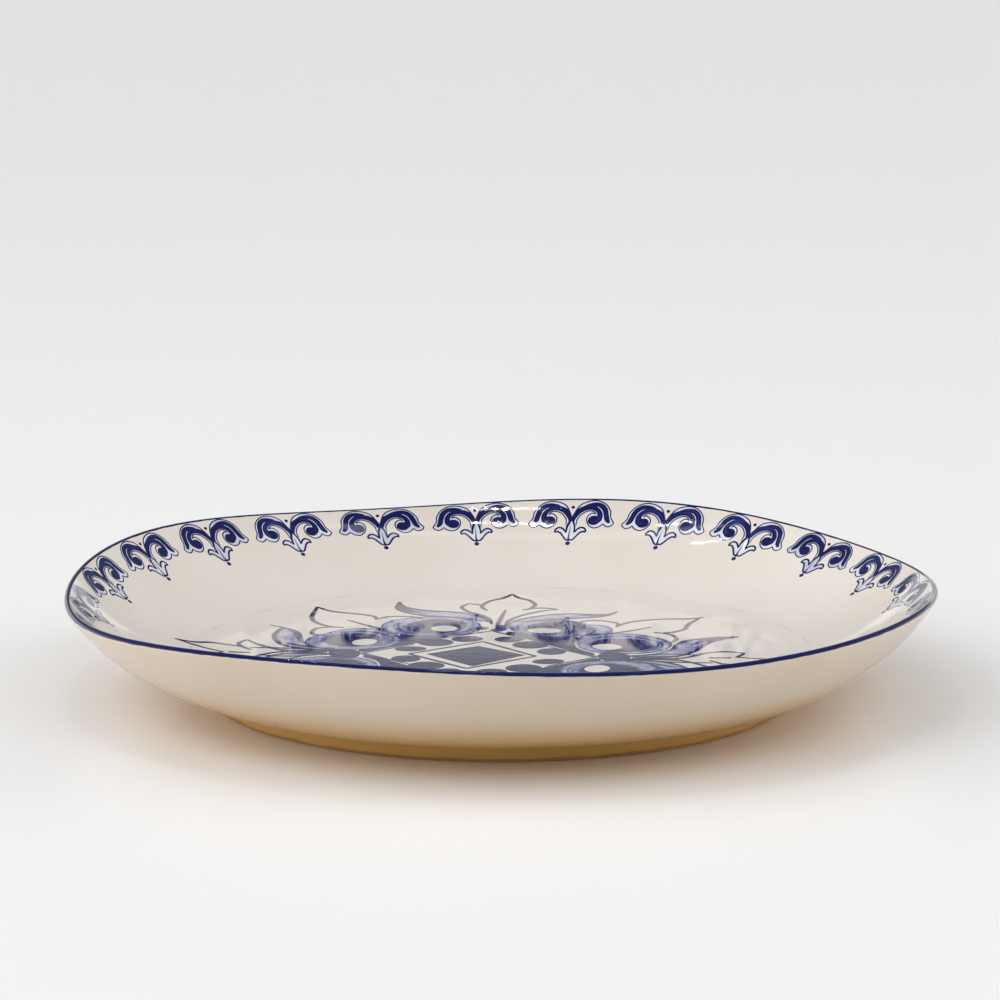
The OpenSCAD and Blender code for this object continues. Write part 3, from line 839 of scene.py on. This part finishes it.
# Leaves washed in one pull of a wide brush, dark at the tip
leaves = [
    ([(-4, 65), (-7, 75), (-13, 82), (-20, 86), (-33, 90), (-41, 96), (-44, 104)],
     [(-45, 95), (-42, 87), (-36, 81), (-30, 77.5), (-18, 75), (-9, 68)]),
    ([(4, 66), (10, 73), (20, 80), (30, 82.5), (45, 81), (50, 87)],
     [(46, 80), (40, 75.5), (30, 73), (20, 70), (10, 66)]),
    ([(-70, 11), (-82, 15), (-89, 21), (-93, 30), (-94.5, 40), (-93, 50), (-91.5, 55)],
     [(-87, 49), (-84, 42), (-82.5, 30), (-78, 20)]),
    ([(53, -2.5), (66, -1), (73, 2), (79, 10), (83, 20), (88, 29), (98.5, 37)],
     [(92, 36.5), (84, 34), (76, 29), (72, 22), (70, 14), (62, 4)]),
]
for near, far in leaves:
    washes.patch(smooth(near, 4) + smooth(far, 4), shade=0.2, grain=30)
    lines.stroke(near, shade=0.88)
    lines.stroke([near[-1]] + far, shade=0.8)
crescent = [(37, 61), (44, 58), (46.5, 50), (43.5, 43), (36, 39.5)]
washes.patch(smooth(crescent, 4) + smooth([(38.5, 47), (38.5, 55)], 4), shade=0.2, grain=30)
lines.stroke(crescent, line_widths(crescent, 1.1), shade=0.8)
for path, widths in (([(-44, 104), (-44, 97), (-40, 89), (-33, 84)], [0.8, 3, 4, 0.6]),
                     ([(50, 87), (46, 81.5), (38, 79), (30, 78)], [0.8, 2, 2.6, 0.6]),
                     ([(98.5, 37), (90, 35), (84, 30), (78, 21)], [0.8, 2, 4, 0.6]),
                     ([(-97, 58), (-91, 54.5), (-86.5, 48), (-84, 38), (-82, 26)],
                      [0.8, 1.6, 2.8, 3, 0.8])):
    washes.stroke(path, widths, shade=0.6, top=0.04)

# Outlined leaves, hooks, ribs and rays
drawn = [
    # the far petal, its two small side leaves and its ribs
    [(5, 118), (1, 113), (-5, 108), (-8, 100), (-8, 95), (-6, 89)],
    [(5, 118), (8, 113), (12.5, 109), (14.8, 101), (12.5, 93), (9, 90)],
    [(-8, 100), (-11, 102), (-14, 103.5)],
    [(-14, 103.5), (-17, 96), (-14, 87), (-8, 79), (-5, 72), (-4, 62)],
    [(12.5, 93), (18, 94.5), (24.5, 92)],
    [(24.5, 92), (16, 87), (8, 78), (3, 68), (2, 58)],
    [(2, 90), (0.5, 78), (-1, 65), (-2, 55)],
    # the left diagonal leaf
    [(-79, 90), (-73, 86), (-66, 84), (-59, 81), (-54, 77), (-53, 71)],
    [(-53, 71), (-49, 76), (-43, 77.5), (-37, 76), (-33, 73)],
    [(-79, 90), (-80.5, 78), (-80, 70), (-77, 63), (-72, 57), (-66, 55.5)],
    [(-70, 56.5), (-77, 54), (-79, 47), (-78, 42), (-73, 40)],
    [(-65, 70), (-57, 60), (-51, 53), (-46, 46)],
    # the right diagonal leaf and its hooks
    [(86, 73), (80, 72), (70, 72), (60, 69), (53, 64), (49, 57)],
    [(84, 71.5), (80, 64), (78, 57), (77, 52), (73, 47), (68, 44.5), (64, 45.5)],
    [(65, 45.5), (70, 42), (72.5, 36), (72, 30), (70, 26)],
    [(63, 56), (56, 50), (50, 46), (46, 44), (38, 40)],
    [(33, 65), (36, 68.5), (41, 69), (47, 66), (49.5, 62), (48.5, 56)],
    # the left long petal
    [(-133, 11.5), (-125, 15), (-119, 19.5), (-112, 20), (-107, 18.5)],
    [(-102, 13), (-106, 18), (-108, 24), (-105, 31)],
    [(-105, 31), (-99, 22), (-92, 14), (-85, 10), (-78, 9.5), (-68, 10.5)],
    [(-90, 6.5), (-80, 6), (-68, 6.5)],
    [(-97, 3), (-84, 1), (-74, 4), (-66, 4.5)],
    [(-92, 13.5), (-82, 11.5), (-66, 12)],
    # the right long petal
    [(54, -3), (64, -3.5), (72, -3), (78, 1), (84, 7), (92, 9), (99, 6.5)],
    [(99, 6.5), (97, 2), (95, -1.5)],
    [(84, -2), (93, -2)],
    [(95, -1), (105, -4), (115, -6)],
    [(48, -6), (60, -8), (75, -10.5), (85, -11)],
    [(50, -9), (60, -12), (70, -19)],
]
thick = {(-79, 90): 2.1, (84, 71.5): 2.1, (84, -2): 3, (-133, 11.5): 1.9}
for path in drawn:
    width = thick.get(path[0], rule)
    lines.stroke(path, line_widths(path, width), shade=0.92)

lay = medallion_lay()
for name, half in (("medallion_washes", washes), ("medallion_fills", fills),
                   ("medallion_lines", lines)):
    piece = made(name, lay, half.painting.mesh(name), Bend=coat_bend, Floor_radius=floor_r,
                 Floor_height=floor_z, Foot_radius=wall_r, Lip_radius=lip_r, Material=cobalt)
    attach(piece, "root")
    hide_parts("medallion_painting")

# ----------------------------------------------------------
# Studio
# A wide pale floor under soft light from all round, with a strip and two frames of small
# lamps overhead, and the camera low in front of the plate.
# ----------------------------------------------------------
floor_half = 14.0                # metres
floor_mesh = bpy.data.meshes.new("floor")
floor_mesh.from_pydata([(x * floor_half, y * floor_half, -0.02 * MM)
                        for x, y in ((-1, -1), (1, -1), (1, 1), (-1, 1))], [], [(0, 1, 2, 3)])
floor = bpy.data.objects.new("floor", floor_mesh)
bpy.context.scene.collection.objects.link(floor)
# Satin white board, smooth enough to mirror the foot a little at a low angle
board, _, shader, _ = new_material("satin_white_board")
shader.inputs["Base Color"].default_value = linear("#f5f5f5")
shader.inputs["Roughness"].default_value = 0.35
shader.inputs["Specular IOR Level"].default_value = 0.38
floor_mesh.materials.append(board)

world = bpy.data.worlds.new("studio")
world.use_nodes = True
sky = world.node_tree
direction = add(sky, "ShaderNodeTexCoord").outputs["Generated"]
up = add(sky, "ShaderNodeSeparateXYZ", direction).outputs["Z"]
# A bright wall stands all round up to a dimmer ceiling, and is a little darker near the floor
wall_foot = add(sky, "ShaderNodeMapRange", up, 0.11, 0.18, 0.6, 1.0,
                interpolation_type="SMOOTHSTEP")
wall_top = add(sky, "ShaderNodeMapRange", up, 0.195, 0.235, 0.95, 0.14,
               interpolation_type="SMOOTHSTEP")
room = add(sky, "ShaderNodeMath", wall_foot, wall_top, operation="MULTIPLY")
sky.links.new(room.outputs[0], sky.nodes["Background"].inputs["Strength"])
sky.nodes["Background"].inputs["Color"].default_value = linear("#f9f9fa")
bpy.context.scene.world = world


def soft_box(name, place, target, wide, high, power):
    """A rectangular soft box that faces a point."""
    light = bpy.data.lights.new(name, "AREA")
    light.shape = "RECTANGLE"
    light.size = wide
    light.size_y = high
    light.energy = power
    box = bpy.data.objects.new(name, light)
    box.location = place
    box.rotation_euler = (Vector(target) - Vector(place)).to_track_quat("-Z", "Y").to_euler()
    bpy.context.scene.collection.objects.link(box)


def wide_light(name, side, elevation, spread, strength):
    """A wide, even light from far off that leaves no mirror image. Angles in degrees."""
    light = bpy.data.objects.new(name, bpy.data.lights.new(name, "SUN"))
    light.data.energy = strength
    light.data.angle = math.radians(spread)
    light.visible_glossy = False
    light.rotation_euler = (math.radians(90 - elevation), 0, math.radians(side))
    bpy.context.scene.collection.objects.link(light)


def lamp_frame(name, middle, wide, deep, lamps, power):
    """Two rows of small bare lamps over the plate. Each one leaves a speck on the glaze."""
    for row in (-0.5, 0.5):
        for i in range(lamps):
            across = wide * (i / (lamps - 1) - 0.5)
            place = (middle[0] + across, middle[1] + row * deep, middle[2])
            soft_box(name, place, (0, 0, 0), 0.014, 0.014, power)


soft_box("ceiling_strip", (-0.1, 0.26, 2.0), (-0.1, 0.26, 0), 2.2, 0.12, 1.0)
lamp_frame("near_lamps", (-0.1, -0.12, 1.5), 0.26, 0.25, 7, 0.1)
lamp_frame("far_lamps", (-0.6, 0.27, 1.35), 0.12, 0.3, 3, 0.08)
for name, side, elevation, spread, strength in (
        ("overcast", 0, 90, 100, 0.86), ("front_left", -68, 36, 60, 1.38),
        ("front_right", 66, 38, 60, 0.71), ("low_left", -105, 18, 40, 0.9),
        ("low_right", 105, 18, 40, 0.95)):
    wide_light(name, side, elevation, spread, strength)

camera = bpy.data.objects.new("camera", bpy.data.cameras.new("camera"))
camera.location = (-0.00045, -1.3825, 0.329)
camera.rotation_euler = (math.radians(90 - 10.29), 0, 0)
camera.data.sensor_width = 36
camera.data.lens = 125.97
bpy.context.scene.collection.objects.link(camera)
bpy.context.scene.camera = camera
bpy.context.scene.view_settings.view_transform = "Standard"
